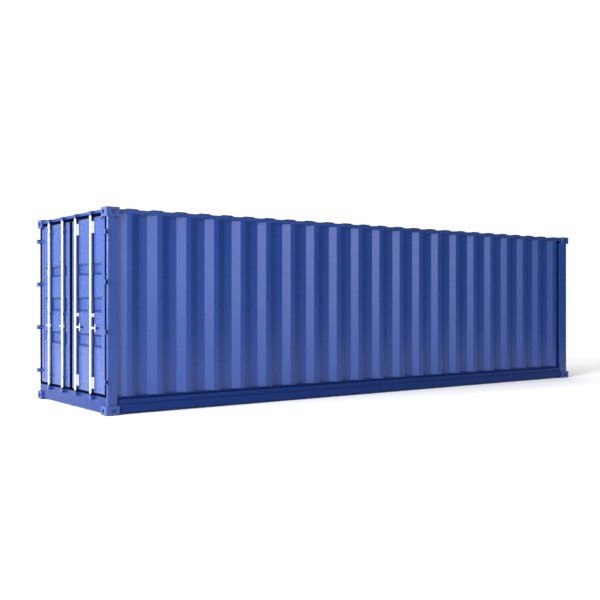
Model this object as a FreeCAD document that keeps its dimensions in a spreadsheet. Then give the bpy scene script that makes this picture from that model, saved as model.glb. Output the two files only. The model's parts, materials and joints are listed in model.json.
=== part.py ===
import FreeCAD, Part
import os
import Sketcher

# A thirty-foot steel shipping container, ISO size 1BB, as separate pieces.
# Millimetres.  X runs along the container: the doors are at the -X end, the blank front
# wall at the +X end.  Y runs across it: the right-hand side, as seen facing the doors, is
# at -Y.  Z is up from the undersides of the bottom corner castings, where Z = 0.

doc = FreeCAD.newDocument("shipping_container")

# ---------------------------------------------------------------- driving dimensions
DIMENSIONS = {
    # whole container, over the corner castings
    "overall_length": 9125, "overall_width": 2438, "overall_height": 2591,
    # corner castings and their apertures
    "casting_long": 178, "casting_wide": 162, "casting_high": 118, "casting_wall": 20,
    "aperture_plate": 28, "aperture_long": 124, "aperture_wide": 63.5,
    "aperture_from_end": 103.5, "aperture_from_side": 89.5,
    "side_hole_long": 79, "side_hole_high": 51, "end_hole_long": 79, "casting_edge": 8,
    # how far a cutting tool starts outside what it cuts, and how deep a slot is cut
    "cut_margin": 5, "slot_cut": 50,
    # how far the frame stands back from the castings' planes
    "frame_inset": 25, "frame_lift": 27,
    # bottom side rails
    "rail_deep": 60, "rail_band_top": 119, "rail_groove_top": 145, "rail_top": 193,
    "rail_groove_deep": 14, "ledge_top": 228, "ledge_thick": 6, "ledge_web": 12,
    # top side rails
    "top_rail_low": 2519, "top_rail_high": 2566,
    # corner posts
    "post_face": 26, "post_long": 133, "post_channel": 38, "post_rebate": 58,
    "post_round": 18, "front_post_long": 198, "front_post_wide": 50,
    # corrugated side walls
    "wall_inset": 4, "wall_sheet": 4, "wall_depth": 46, "wall_pitch": 421,
    "wall_face": 79, "wall_slope": 112, "wall_ribs": 21, "wall_first_slope": 146,
    # corrugated front wall
    "front_wall_ribs": 5, "front_rail_top": 221, "end_plate": 12,
    # corrugated roof
    "roof_sheet": 3, "roof_depth": 14, "roof_pitch": 350, "roof_face": 130,
    "roof_slope": 45, "roof_ribs": 27, "roof_lap": 16,
    # floor
    "floor_thick": 28, "floor_top": 200, "bearer_pitch": 309, "bearer_count": 29,
    "bearer_wide": 46, "bearer_high": 122, "bearer_steel": 5,
    # door sill and header
    "sill_top": 221, "threshold_top": 235, "header_low": 2533, "header_high": 2570,
    "door_backing": 75,
    # door leaves
    "leaf_setback": 28, "leaf_thick": 50, "leaf_low": 257, "leaf_high": 2487,
    "leaf_inner": 49, "leaf_outer": 1107, "stile_outer": 78, "stile_inner": 78,
    "leaf_rail": 60, "panel_sheet": 4, "panel_setback": 3,
    "channel_wide": 66, "channel_deep": 28,
    "band_deep": 30, "band_slope": 36, "band_inner": 156, "band_outer": 1014,
    "band_one_low": 823, "band_one_high": 1006, "band_two_low": 1273,
    "band_two_high": 1479, "band_three_low": 1749, "band_three_high": 1916,
    # door gaskets
    "gasket_setback": 6, "gasket_low": 226, "gasket_high": 2528, "gasket_centre": 5,
    "gasket_side": 1163, "gasket_gap": 5,
    # hinges
    "hinge_proud": 10, "hinge_inset": 10, "knuckle_radius": 8, "pin_radius": 5,
    "pin_gap": 0.3, "blade_thick": 8, "blade_high": 32, "lug_high": 12, "lug_gap": 2,
    "blade_reach": 45, "lug_edge": 4, "lug_inset": 3,
    "hinge_one": 420, "hinge_two": 1040, "hinge_three": 1660, "hinge_four": 2280,
    # locking bars
    "bar_radius": 15.5, "bar_standoff": 31.5, "bar_low": 226, "bar_high": 2527,
    "outer_bar_at": 739.5, "inner_bar_at": 232.5, "cam_wide": 30, "cam_thick": 15.5,
    "cam_drop": 56, "cam_rise": 34, "cam_root": 20, "keeper_wide": 12, "keeper_gap": 7,
    "keeper_thick": 40, "keeper_inset": 2,
    # bearing brackets of the locking bars
    "bearing_gap": 0.5, "bearing_wide": 92, "bearing_thick": 24, "bearing_foot": 8,
    "bearing_low": 305, "bearing_low_top": 452, "bearing_mid": 1219,
    "bearing_mid_top": 1264, "bearing_high": 2289, "bearing_high_top": 2438,
    "small_bearing_high": 30,
    # handles
    "hub_low": 1059, "hub_high": 1099, "hub_wide": 20, "lever_long": 130,
    "lever_thick": 9, "lever_root": 26, "lever_tip": 8, "lever_back": 12,
    "end_plate_wide": 14, "end_plate_high": 96,
}

sheet = doc.addObject("Spreadsheet::Sheet", "dims")
for row, (word, number) in enumerate(DIMENSIONS.items(), start=1):
    sheet.set(f"A{row}", word)
    sheet.set(f"B{row}", str(number))
    sheet.setAlias(f"B{row}", word)
doc.recompute()


def minus(formula):
    return f"(0 - ({formula}))"


def value(formula):
    return float(sheet.evalExpression(formula))


# ---------------------------------------------------------------- shared planes, as formulas
END = "(dims.overall_length / 2)"
SIDE = "(dims.overall_width / 2)"
FRAME_END = f"({END} - dims.frame_inset)"
FRAME_SIDE = f"({SIDE} - dims.frame_inset)"
CASTING_IN_X = f"({END} - dims.casting_long)"
CASTING_IN_Y = f"({SIDE} - dims.casting_wide)"
TOP_CASTING_LOW = "(dims.overall_height - dims.casting_high)"
DOOR_POST_IN = f"({FRAME_END} - dims.post_long)"
REBATE_X = f"({FRAME_END} - dims.post_rebate)"
POST_FACE_Y = f"({FRAME_SIDE} - dims.post_face)"
POST_CHANNEL_Y = f"({POST_FACE_Y} - dims.post_channel)"
FRONT_POST_IN = f"({FRAME_END} - dims.front_post_long)"
RAIL_IN = f"({FRAME_SIDE} - dims.rail_deep)"
WALL_OUT = f"({FRAME_SIDE} - dims.wall_inset)"
WALL_IN = f"({WALL_OUT} - dims.wall_depth - dims.wall_sheet)"
LEAF_X = f"({END} - dims.leaf_setback)"
LEAF_BACK = f"({LEAF_X} - dims.leaf_thick)"
HINGE_X = f"({END} + dims.hinge_proud)"
HINGE_Y = f"({SIDE} - dims.hinge_inset)"
BAR_X = f"({LEAF_X} + dims.bar_standoff)"

AXES = {"x": 0, "y": 1, "z": 2}
finished = []


def bind(thing, formulas):
    for path, formula in formulas.items():
        thing.setExpression(path, formula)
    return thing


def finish(thing, label):
    """Count a finished piece: its label names its file."""
    thing.Label = label
    finished.append(thing)
    return thing


def block(name, x, y, z):
    """A plain block, from the first to the second formula on each axis."""
    box = doc.addObject("Part::Box", name)
    return bind(box, {
        "Length": f"{x[1]} - {x[0]}", "Width": f"{y[1]} - {y[0]}",
        "Height": f"{z[1]} - {z[0]}", "Placement.Base.x": x[0],
        "Placement.Base.y": y[0], "Placement.Base.z": z[0],
    })


TURN_TO = {
    "z": FreeCAD.Rotation(),
    "x": FreeCAD.Rotation(FreeCAD.Vector(0, 1, 0), 90),
    "y": FreeCAD.Rotation(FreeCAD.Vector(1, 0, 0), -90),
}


def rod(name, axis, start, radius, length):
    """A cylinder from a start point, along +X, +Y or +Z."""
    cylinder = doc.addObject("Part::Cylinder", name)
    cylinder.Placement = FreeCAD.Placement(FreeCAD.Vector(), TURN_TO[axis])
    return bind(cylinder, {
        "Radius": radius, "Height": length, "Placement.Base.x": start[0],
        "Placement.Base.y": start[1], "Placement.Base.z": start[2],
    })


def fuse(name, parts):
    union = doc.addObject("Part::MultiFuse", name)
    union.Shapes = parts
    return union


def cut(name, base, tool):
    difference = doc.addObject("Part::Cut", name)
    difference.Base = base
    difference.Tool = tool
    return difference


def common(name, base, tool):
    overlap = doc.addObject("Part::Common", name)
    overlap.Base = base
    overlap.Tool = tool
    return overlap


def together(name, parts):
    """Several solids that don't touch, kept as one piece."""
    group = doc.addObject("Part::Compound", name)
    group.Links = parts
    return group


NORMALS = {
    "x": FreeCAD.Vector(1, 0, 0), "y": FreeCAD.Vector(0, 1, 0),
    "z": FreeCAD.Vector(0, 0, 1),
}


def mirror(name, source, axis, at=None):
    copy = doc.addObject("Part::Mirroring", name)
    copy.Source = source
    copy.Normal = NORMALS[axis]
    if at:
        copy.setExpression(f"Base.{axis}", at)
    return copy


PLANES = {"z": "XY_Plane", "y": "XZ_Plane", "x": "YZ_Plane"}


def sketch(body, name, axis, outline):
    """A closed outline of straight runs, square to an axis; each corner is a formula pair."""
    profile = body.newObject("Sketcher::SketchObject", name)
    plane = [part for part in body.Origin.OriginFeatures if part.Role == PLANES[axis]]
    profile.AttachmentSupport = [(plane[0], "")]
    profile.MapMode = "FlatFace"
    corners = [(value(u), value(v)) for u, v in outline]
    following = corners[1:] + corners[:1]
    for (u, v), (next_u, next_v) in zip(corners, following):
        start = FreeCAD.Vector(u, v, 0)
        end = FreeCAD.Vector(next_u, next_v, 0)
        profile.addGeometry(Part.LineSegment(start, end), False)
    for line in range(len(corners)):
        following_line = (line + 1) % len(corners)
        profile.addConstraint(Sketcher.Constraint("Coincident", line, 2, following_line, 1))
    for line, formulas in enumerate(outline):
        for kind, place, formula in zip(("DistanceX", "DistanceY"), corners[line], formulas):
            number = profile.addConstraint(
                Sketcher.Constraint(kind, -1, 1, line, 1, place))
            profile.setExpression(f"Constraints[{number}]", formula)
    return profile


def prism(name, axis, outline, start, length):
    """An outline padded along +X, +Z, or from its start towards -Y."""
    body = doc.addObject("PartDesign::Body", name)
    profile = sketch(body, name + "_outline", axis, outline)
    pad = body.newObject("PartDesign::Pad", name + "_pad")
    pad.Profile = profile
    pad.setExpression("Length", length)
    body.setExpression(f"Placement.Base.{axis}", start)
    return body


def repeated(name, axis, outline, length, pitch, count):
    """An outline padded to its length, then repeated along its sketch's first axis."""
    body = prism(name, axis, outline, "0", length)
    body.AllowCompound = True
    profile, pad = body.Group
    doc.recompute()
    pattern = body.newObject("PartDesign::LinearPattern", name + "_pattern")
    pattern.Originals = [pad]
    pattern.Direction = (profile, ["H_Axis"])
    bind(pattern, {"Length": f"{pitch} * ({count} - 1)", "Occurrences": count})
    body.Tip = pattern
    return body


def rib(pitch, face, slope, inner, outer, thick):
    """One corrugation's section: inner flat, slope, outer face, slope, inner flat.

    The outer face lies at `outer`, the inner flats at `inner`; the sheet's thickness is
    measured from each towards the inside, the way `thick` is signed.
    """
    flat = f"(({pitch} - {face}) / 2 - {slope})"
    runs = [("0", inner), (flat, inner), (f"({flat} + {slope})", outer),
            (f"({flat} + {slope} + {face})", outer),
            (f"({pitch} - {flat})", inner), (pitch, inner)]
    back = [(along, f"({across} + {thick})") for along, across in reversed(runs)]
    return runs + back


# ---------------------------------------------------------------- corner castings
def stadium(name, axis, centre, long_axis, long, wide, depth):
    """A slot with round ends, cut `depth` along an axis from its centre point."""
    half = f"(({long} - {wide}) / 2)"
    ends = []
    for number, sign in enumerate(("-", "+")):
        start = list(centre)
        start[AXES[long_axis]] = f"({centre[AXES[long_axis]]} {sign} {half})"
        ends.append(rod(f"{name}_end{number}", axis, start, f"({wide}) / 2", depth))
    spans = [(place, f"({place} + {depth})") for place in centre]
    for other in AXES:
        if other != axis:
            reach = half if other == long_axis else f"(({wide}) / 2)"
            place = centre[AXES[other]]
            spans[AXES[other]] = (f"({place} - {reach})", f"({place} + {reach})")
    return fuse(name, ends + [block(name + "_middle", *spans)])


def master_casting():
    """The bottom casting at the door end's right-hand corner: a hollow block with a slot
    underneath and a smaller slot in its side and its end."""
    x_low, y_low = minus(END), minus(SIDE)
    outside = block("casting_block", (x_low, f"({x_low} + dims.casting_long)"),
                    (y_low, f"({y_low} + dims.casting_wide)"),
                    ("0", "dims.casting_high"))
    doc.recompute()
    rounded = doc.addObject("Part::Fillet", "casting_rounded")
    rounded.Base = outside
    edge_radius = value("dims.casting_edge")
    outer_edges = []
    for number, edge in enumerate(outside.Shape.Edges, start=1):
        middle = edge.CenterOfMass
        on_outside = [abs(middle.x - value(x_low)) < 1, abs(middle.y - value(y_low)) < 1,
                      abs(middle.z) < 1]
        if sum(on_outside) == 2:
            outer_edges.append((number, edge_radius, edge_radius))
    rounded.Edges = outer_edges
    hollow = block(
        "casting_hollow",
        (f"({x_low} + dims.casting_wall)",
         f"({x_low} + dims.casting_long - dims.casting_wall)"),
        (f"({y_low} + dims.casting_wall)",
         f"({y_low} + dims.casting_wide - dims.casting_wall)"),
        ("dims.aperture_plate", "(dims.casting_high - dims.casting_wall)"))
    slot_x = f"({x_low} + dims.aperture_from_end)"
    slot_y = f"({y_low} + dims.aperture_from_side)"
    middle_z = "(dims.casting_high / 2)"
    base_slot = stadium("casting_base_slot", "z",
                        [slot_x, slot_y, minus("dims.cut_margin")], "x",
                        "dims.aperture_long", "dims.aperture_wide", "dims.slot_cut")
    side_slot = stadium("casting_side_slot", "y",
                        [slot_x, f"({y_low} - dims.cut_margin)", middle_z], "x",
                        "dims.side_hole_long", "dims.side_hole_high", "dims.slot_cut")
    end_slot = stadium("casting_end_slot", "x",
                       [f"({x_low} - dims.cut_margin)", slot_y, middle_z], "y",
                       "dims.end_hole_long", "dims.side_hole_high", "dims.slot_cut")
    voids = fuse("casting_voids", [hollow, base_slot, side_slot, end_slot])
    return cut("casting_master", rounded, voids)


def castings():
    master = master_casting()
    across = mirror("casting_across", master, "y")
    for side, low_door in (("right", master), ("left", across)):
        low_front = mirror(f"casting_low_front_{side}", low_door, "x")
        for end, low in (("door", low_door), ("front", low_front)):
            high = mirror(f"casting_high_{end}_{side}", low, "z", "dims.overall_height / 2")
            finish(low, f"bottom_casting_{end}_{side}")
            finish(high, f"top_casting_{end}_{side}")


# ---------------------------------------------------------------- posts and rails
def posts():
    """Door posts have an outer bar and, behind the door's rebate, an inner channel."""
    x_face, x_in, x_rebate = minus(FRAME_END), minus(DOOR_POST_IN), minus(REBATE_X)
    y_out, y_bar, y_channel = minus(FRAME_SIDE), minus(POST_FACE_Y), minus(POST_CHANNEL_Y)
    door_outline = [(x_face, y_out), (x_in, y_out), (x_in, y_channel),
                    (x_rebate, y_channel), (x_rebate, y_bar), (x_face, y_bar)]
    tall = f"{TOP_CASTING_LOW} - dims.casting_high"
    door_post = prism("door_post", "z", door_outline, "dims.casting_high", tall)
    front_x, front_in = FRAME_END, FRONT_POST_IN
    y_front = f"({y_out} + dims.front_post_wide)"
    front_outline = [(front_in, y_out), (front_x, y_out), (front_x, y_front),
                     (front_in, y_front)]
    front_post = prism("front_post", "z", front_outline, "dims.casting_high", tall)
    for end, post, corner_x in (("door", door_post, x_face), ("front", front_post, front_x)):
        doc.recompute()
        corner = [f"Edge{number}" for number, edge in enumerate(post.Shape.Edges, start=1)
                  if abs(edge.CenterOfMass.x - value(corner_x)) < 1
                  and abs(edge.CenterOfMass.y - value(y_out)) < 1]
        rounding = post.newObject("PartDesign::Fillet", f"{end}_post_rounding")
        rounding.Base = (post.Group[1], corner)
        rounding.setExpression("Radius", "dims.post_round")
        post.Tip = rounding
        finish(post, f"{end}_post_right")
        finish(mirror(f"{end}_post_left", post, "y"), f"{end}_post_left")


def side_rails():
    """Bottom rails have a groove along their face and a ledge that carries the wall."""
    face, back = minus(FRAME_SIDE), minus(RAIL_IN)
    groove = f"({face} + dims.rail_groove_deep)"
    web = f"({back} - dims.ledge_web)"
    lip = minus(WALL_OUT)
    under_ledge = "(dims.ledge_top - dims.ledge_thick)"
    outline = [
        (face, "dims.frame_lift"), (back, "dims.frame_lift"), (back, "dims.ledge_top"),
        (lip, "dims.ledge_top"), (lip, under_ledge), (web, under_ledge),
        (web, "dims.rail_top"), (face, "dims.rail_top"), (face, "dims.rail_groove_top"),
        (groove, "dims.rail_groove_top"), (groove, "dims.rail_band_top"),
        (face, "dims.rail_band_top"),
    ]
    span = f"2 * {CASTING_IN_X}"
    low = prism("bottom_rail", "x", outline, minus(CASTING_IN_X), span)
    room_top = "(dims.ledge_top + dims.cut_margin)"
    post_room_door = block("door_post_room", (minus(END), minus(DOOR_POST_IN)),
                           (minus(SIDE), "0"), ("dims.casting_high", room_top))
    post_room_front = block("front_post_room", (FRONT_POST_IN, END), (minus(SIDE), "0"),
                            ("dims.casting_high", room_top))
    rooms = fuse("post_rooms", [post_room_door, post_room_front])
    low = cut("bottom_rail_right", low, rooms)
    high = block("top_rail_right", (minus(CASTING_IN_X), CASTING_IN_X), (face, back),
                 ("dims.top_rail_low", "dims.top_rail_high"))
    for name, rail in (("bottom_side_rail", low), ("top_side_rail", high)):
        finish(rail, f"{name}_right")
        finish(mirror(f"{name}_left", rail, "y"), f"{name}_left")


# ---------------------------------------------------------------- walls, roof and floor
def side_walls():
    section = rib("dims.wall_pitch", "dims.wall_face", "dims.wall_slope",
                  minus(f"({WALL_IN} + dims.wall_sheet)"), minus(WALL_OUT),
                  "dims.wall_sheet")
    tall = "dims.top_rail_low - dims.ledge_top"
    sheets = repeated("wall_sheets", "z", section, tall, "dims.wall_pitch",
                      "dims.wall_ribs")
    first_flat = "((dims.wall_pitch - dims.wall_face) / 2 - dims.wall_slope)"
    bind(sheets, {
        "Placement.Base.x": f"{minus(FRAME_END)} + dims.wall_first_slope - {first_flat}",
        "Placement.Base.z": "dims.ledge_top",
    })
    room = fuse("wall_room", [
        block("between_posts", (minus(DOOR_POST_IN), FRONT_POST_IN), (minus(SIDE), "0"),
              ("dims.ledge_top", TOP_CASTING_LOW)),
        block("between_top_castings", (minus(CASTING_IN_X), FRONT_POST_IN),
              (minus(SIDE), "0"), (TOP_CASTING_LOW, "dims.top_rail_low")),
    ])
    wall = common("side_wall_sheet", sheets, room)
    finish(wall, "side_wall_right")
    finish(mirror("side_wall_left", wall, "y"), "side_wall_left")


def front_end():
    """The blank end: a rail, a header and a corrugated wall between them."""
    x_out = f"({FRAME_END} - dims.wall_inset)"
    x_in = f"({x_out} - dims.wall_depth)"
    rail_in = f"({FRAME_END} - dims.rail_deep)"
    post_in = f"({FRAME_SIDE} - dims.front_post_wide)"
    between = (minus(CASTING_IN_Y), CASTING_IN_Y)
    low_rail = fuse("front_low_rail", [
        block("front_rail_low_part", (rail_in, FRAME_END), between,
              ("dims.frame_lift", "dims.casting_high")),
        block("front_rail_high_part", (rail_in, FRAME_END), (minus(post_in), post_in),
              ("dims.casting_high", "dims.front_rail_top")),
    ])
    finish(low_rail, "front_bottom_rail")
    plate_low = "(dims.top_rail_high - dims.end_plate)"
    high_rail = fuse("front_high_rail", [
        block("front_header", (rail_in, FRAME_END), between,
              (TOP_CASTING_LOW, "dims.top_rail_high")),
        block("front_end_plate", (CASTING_IN_X, rail_in), between,
              (plate_low, "dims.top_rail_high")),
    ])
    finish(high_rail, "front_top_rail")
    pitch = f"(2 * {post_in} / dims.front_wall_ribs)"
    section = rib(pitch, "dims.wall_face", "dims.wall_slope", minus(x_in), minus(x_out),
                  "dims.wall_sheet")
    tall = f"{TOP_CASTING_LOW} - dims.front_rail_top"
    sheets = repeated("front_sheets", "z", section, tall, pitch, "dims.front_wall_ribs")
    sheets.Placement = FreeCAD.Placement(
        FreeCAD.Vector(), FreeCAD.Rotation(FreeCAD.Vector(0, 0, 1), 90))
    bind(sheets, {"Placement.Base.y": minus(post_in),
                  "Placement.Base.z": "dims.front_rail_top"})
    finish(sheets, "front_wall")


def roof():
    section = rib("dims.roof_pitch", "dims.roof_face", "dims.roof_slope",
                  "dims.top_rail_high", "(dims.top_rail_high + dims.roof_depth)",
                  "dims.roof_sheet")
    wide = f"2 * ({FRAME_SIDE} - dims.roof_lap)"
    sheets = repeated("roof_sheets", "y", section, wide, "dims.roof_pitch",
                      "dims.roof_ribs")
    bind(sheets, {
        "Placement.Base.x": "0 - dims.roof_pitch * dims.roof_ribs / 2",
        "Placement.Base.y": f"{FRAME_SIDE} - dims.roof_lap",
    })
    between = block("between_castings", (minus(CASTING_IN_X), CASTING_IN_X),
                    (minus(SIDE), SIDE), ("dims.top_rail_low", "dims.overall_height"))
    finish(common("roof_sheet_trimmed", sheets, between), "roof")


def floor():
    door_stop = f"({REBATE_X} - dims.door_backing)"
    boards = block("floor_boards", (minus(door_stop), f"({FRAME_END} - dims.rail_deep)"),
                   (minus(RAIL_IN), RAIL_IN),
                   ("(dims.floor_top - dims.floor_thick)", "dims.floor_top"))
    finish(boards, "floor")
    top = "(dims.floor_top - dims.floor_thick)"
    low = f"({top} - dims.bearer_high)"
    half = "(dims.bearer_wide / 2)"
    steel = "dims.bearer_steel"
    outline = [
        (minus(half), low), (half, low), (half, f"({low} + {steel})"),
        (f"({steel} - {half})", f"({low} + {steel})"),
        (f"({steel} - {half})", f"({top} - {steel})"), (half, f"({top} - {steel})"),
        (half, top), (minus(half), top),
    ]
    bearers = repeated("bearers", "y", outline, f"2 * {RAIL_IN}", "dims.bearer_pitch",
                       "dims.bearer_count")
    bind(bearers, {
        "Placement.Base.x": "0 - dims.bearer_pitch * (dims.bearer_count - 1) / 2",
        "Placement.Base.y": RAIL_IN,
    })
    finish(bearers, "floor_bearers")


# ---------------------------------------------------------------- door end frame
def door_frame():
    x_face, x_rebate = minus(FRAME_END), minus(REBATE_X)
    x_stop = f"({x_rebate} + dims.door_backing)"
    between = (minus(CASTING_IN_Y), CASTING_IN_Y)
    inside = (minus(POST_CHANNEL_Y), POST_CHANNEL_Y)
    sill = fuse("sill_beam", [
        block("sill_low", (x_face, x_stop), between, ("dims.frame_lift", "dims.sill_top")),
        block("sill_face", (x_face, x_rebate), (minus(POST_FACE_Y), POST_FACE_Y),
              ("dims.casting_high", "dims.sill_top")),
        block("sill_threshold", (x_rebate, x_stop), inside,
              ("dims.casting_high", "dims.threshold_top")),
    ])
    finish(sill, "door_sill")
    header = fuse("header_beam", [
        block("header_face", (x_face, x_stop), between,
              ("dims.header_low", "dims.header_high")),
        block("header_stop", (x_rebate, x_stop), between,
              (TOP_CASTING_LOW, "dims.header_low")),
        block("header_plate", (x_stop, minus(CASTING_IN_X)), between,
              ("(dims.top_rail_high - dims.end_plate)", "dims.top_rail_high")),
    ])
    finish(header, "door_header")


# ---------------------------------------------------------------- doors
def leaf_span(side, near, far):
    """A stretch across a leaf, from nearer the centre line to nearer the post."""
    if side == "left":
        return (near, far)
    return (minus(far), minus(near))


def bar_place(side, place):
    distance = f"dims.{place}_bar_at"
    return distance if side == "left" else minus(distance)


def door_leaf(side):
    """A welded frame, a pressed sheet with three bands, and a rubber gasket all round."""
    face, back = minus(LEAF_X), minus(LEAF_BACK)
    inner, outer = "dims.leaf_inner", "dims.leaf_outer"
    stile_in = f"({inner} + dims.stile_inner)"
    stile_out = f"({outer} - dims.stile_outer)"
    low, high = "dims.leaf_low", "dims.leaf_high"
    rail_low, rail_high = f"({low} + dims.leaf_rail)", f"({high} - dims.leaf_rail)"
    through = (f"({face} - dims.cut_margin)", f"({back} + dims.cut_margin)")
    whole = block(f"{side}_leaf_block", (face, back), leaf_span(side, inner, outer),
                  (low, high))
    window = block(f"{side}_leaf_window", through,
                   leaf_span(side, stile_in, stile_out), (rail_low, rail_high))
    step_low = f"({TOP_CASTING_LOW} - dims.gasket_gap)"
    step = block(f"{side}_leaf_step", through,
                 leaf_span(side, f"({CASTING_IN_Y} - dims.gasket_gap)", SIDE),
                 (step_low, "dims.overall_height"))
    channels = [channel(f"{side}_{place}_notch", side, place, "0", face,
                        (f"({low} - dims.cut_margin)", f"({high} + dims.cut_margin)"))
                for place in ("inner", "outer")]
    frame = cut(f"{side}_leaf_frame", whole,
                fuse(f"{side}_leaf_openings", [window, step] + channels))
    finish(frame, f"{side}_door_frame")
    pressed_panel(side, face, (stile_in, stile_out), (rail_low, rail_high))
    gasket(side, face, back, step_low)


def pressed_panel(side, face, across, up):
    """The sheet is pressed inwards: an upright channel behind each locking bar, and three
    level bands whose edges slope."""
    skin = f"({face} + dims.panel_setback)"
    sheet_back = f"({skin} + dims.panel_sheet)"
    plate = block(f"{side}_panel_plate", (skin, sheet_back), leaf_span(side, *across), up)
    bands = ("one", "two", "three")
    pans = [pan(f"{side}_pan_{band}", side, band, "dims.panel_sheet", skin)
            for band in bands]
    presses = [pan(f"{side}_press_{band}", side, band, "0", skin) for band in bands]
    for place in ("inner", "outer"):
        pans.append(channel(f"{side}_{place}_trough", side, place, "dims.panel_sheet",
                            skin, up))
        presses.append(channel(f"{side}_{place}_press", side, place, "0", skin, up))
    pressed = cut(f"{side}_panel_pressed", fuse(f"{side}_panel_filled", [plate] + pans),
                  fuse(f"{side}_panel_presses", presses))
    finish(pressed, f"{side}_door_panel")


def channel(name, side, place, grow, start, up):
    """The upright trough behind a locking bar; `grow` makes it wider and deeper."""
    y = bar_place(side, place)
    half = f"(dims.channel_wide / 2 + {grow})"
    return block(name, (start, f"({start} + dims.channel_deep + {grow})"),
                 (f"({y} - {half})", f"({y} + {half})"), up)


def pan(name, side, band, grow, start):
    """A shallow pan, wide at the sheet and narrower at its floor, its axis along X.

    `grow` makes it larger all round, so that a grown pan less a plain one is a pressing.
    """
    wedge = doc.addObject("Part::Wedge", name)
    y_low, y_high = leaf_span(side, f"(dims.band_inner - {grow})",
                              f"(dims.band_outer + {grow})")
    z_low = f"(dims.band_{band}_low - {grow})"
    z_high = f"(dims.band_{band}_high + {grow})"
    slope = "dims.band_slope"
    # The wedge's own Y is its axis, and is turned onto the container's X.
    wedge.Placement = FreeCAD.Placement(
        FreeCAD.Vector(), FreeCAD.Rotation(FreeCAD.Vector(0, 0, 1), -90))
    return bind(wedge, {
        "Xmin": minus(y_high), "Xmax": minus(y_low),
        "X2min": f"{minus(y_high)} + {slope}", "X2max": f"{minus(y_low)} - {slope}",
        "Zmin": z_low, "Zmax": z_high, "Z2min": f"{z_low} + {slope}",
        "Z2max": f"{z_high} - {slope}", "Ymin": "0", "Ymax": f"(dims.band_deep + {grow})",
        "Placement.Base.x": start,
    })


def gasket(side, face, back, step_low):
    """Rubber round the leaf's four edges, stepped under the top corner casting."""
    front = f"({face} + dims.gasket_setback)"
    x_span = (front, back)
    near, far = "dims.gasket_centre", "dims.gasket_side"
    low, high = "dims.gasket_low", "dims.gasket_high"
    casting_y = f"({CASTING_IN_Y} - dims.gasket_gap)"
    ring = fuse(f"{side}_gasket_ring", [
        block(f"{side}_gasket_inside", x_span, leaf_span(side, near, "dims.leaf_inner"),
              (low, high)),
        block(f"{side}_gasket_outside", x_span, leaf_span(side, "dims.leaf_outer", far),
              (low, step_low)),
        block(f"{side}_gasket_bottom", x_span, leaf_span(side, near, far),
              (low, "dims.leaf_low")),
        block(f"{side}_gasket_top", x_span, leaf_span(side, near, casting_y),
              ("dims.leaf_high", high)),
    ])
    finish(ring, f"{side}_door_gasket")


# ---------------------------------------------------------------- hinges
def hinges(side):
    """Four hinges a door: a pair of lugs with a pin on the post, a blade on the leaf."""
    axis_x = minus(HINGE_X)
    axis_y = HINGE_Y if side == "left" else minus(HINGE_Y)
    half_blade = "(dims.blade_thick / 2)"
    blades, lugs = [], []
    for place in ("one", "two", "three", "four"):
        middle = f"dims.hinge_{place}"
        low = f"({middle} - dims.blade_high / 2)"
        high = f"({middle} + dims.blade_high / 2)"
        name = f"{side}_hinge_{place}"
        far = "(dims.leaf_outer - dims.blade_reach)"
        step_y = f"({POST_FACE_Y} - dims.gasket_gap - dims.blade_thick)"
        arm = block(f"{name}_arm", (f"({axis_x} - {half_blade})", f"({axis_x} + {half_blade})"),
                    leaf_span(side, step_y, HINGE_Y), (low, high))
        riser = block(f"{name}_riser", (f"({axis_x} - {half_blade})", minus(LEAF_X)),
                      leaf_span(side, f"({step_y} - dims.blade_thick)", step_y), (low, high))
        strap = block(f"{name}_strap",
                      (f"({minus(LEAF_X)} - dims.blade_thick)", minus(LEAF_X)),
                      leaf_span(side, far, step_y), (low, high))
        knuckle = rod(f"{name}_knuckle", "z", (axis_x, axis_y, low),
                      "dims.knuckle_radius", "dims.blade_high")
        bore = rod(f"{name}_bore", "z", (axis_x, axis_y, f"({low} - dims.cut_margin)"),
                   "(dims.pin_radius + dims.pin_gap)",
                   "(dims.blade_high + 2 * dims.cut_margin)")
        solid = fuse(f"{name}_blade_solid", [arm, riser, strap, knuckle])
        blades.append(cut(f"{name}_blade", solid, bore))
        lug_parts = [rod(f"{name}_pin", "z",
                         (axis_x, axis_y, f"({low} - dims.lug_gap - dims.lug_high)"),
                         "dims.pin_radius",
                         "(dims.blade_high + 2 * dims.lug_gap + 2 * dims.lug_high)")]
        for tag, start in (("low", f"({low} - dims.lug_gap - dims.lug_high)"),
                           ("high", f"({high} + dims.lug_gap)")):
            top = f"({start} + dims.lug_high)"
            lug_parts.append(rod(f"{name}_{tag}_eye", "z", (axis_x, axis_y, start),
                                 "dims.knuckle_radius", "dims.lug_high"))
            lug_parts.append(block(
                f"{name}_{tag}_web", (axis_x, f"({minus(FRAME_END)} + dims.post_round)"),
                leaf_span(side, FRAME_SIDE, f"({HINGE_Y} + dims.lug_edge)"), (start, top)))
            lug_parts.append(block(
                f"{name}_{tag}_foot", (f"({axis_x} - dims.lug_edge)", minus(FRAME_END)),
                leaf_span(side, f"({POST_FACE_Y} + dims.lug_inset)", HINGE_Y),
                (start, top)))
        lugs.append(fuse(f"{name}_lug", lug_parts))
    finish(together(f"{side}_blades", blades), f"{side}_hinge_blades")
    return lugs


# ---------------------------------------------------------------- locking bars
BARS = [("right", "outer"), ("right", "inner"), ("left", "inner"), ("left", "outer")]


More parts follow.
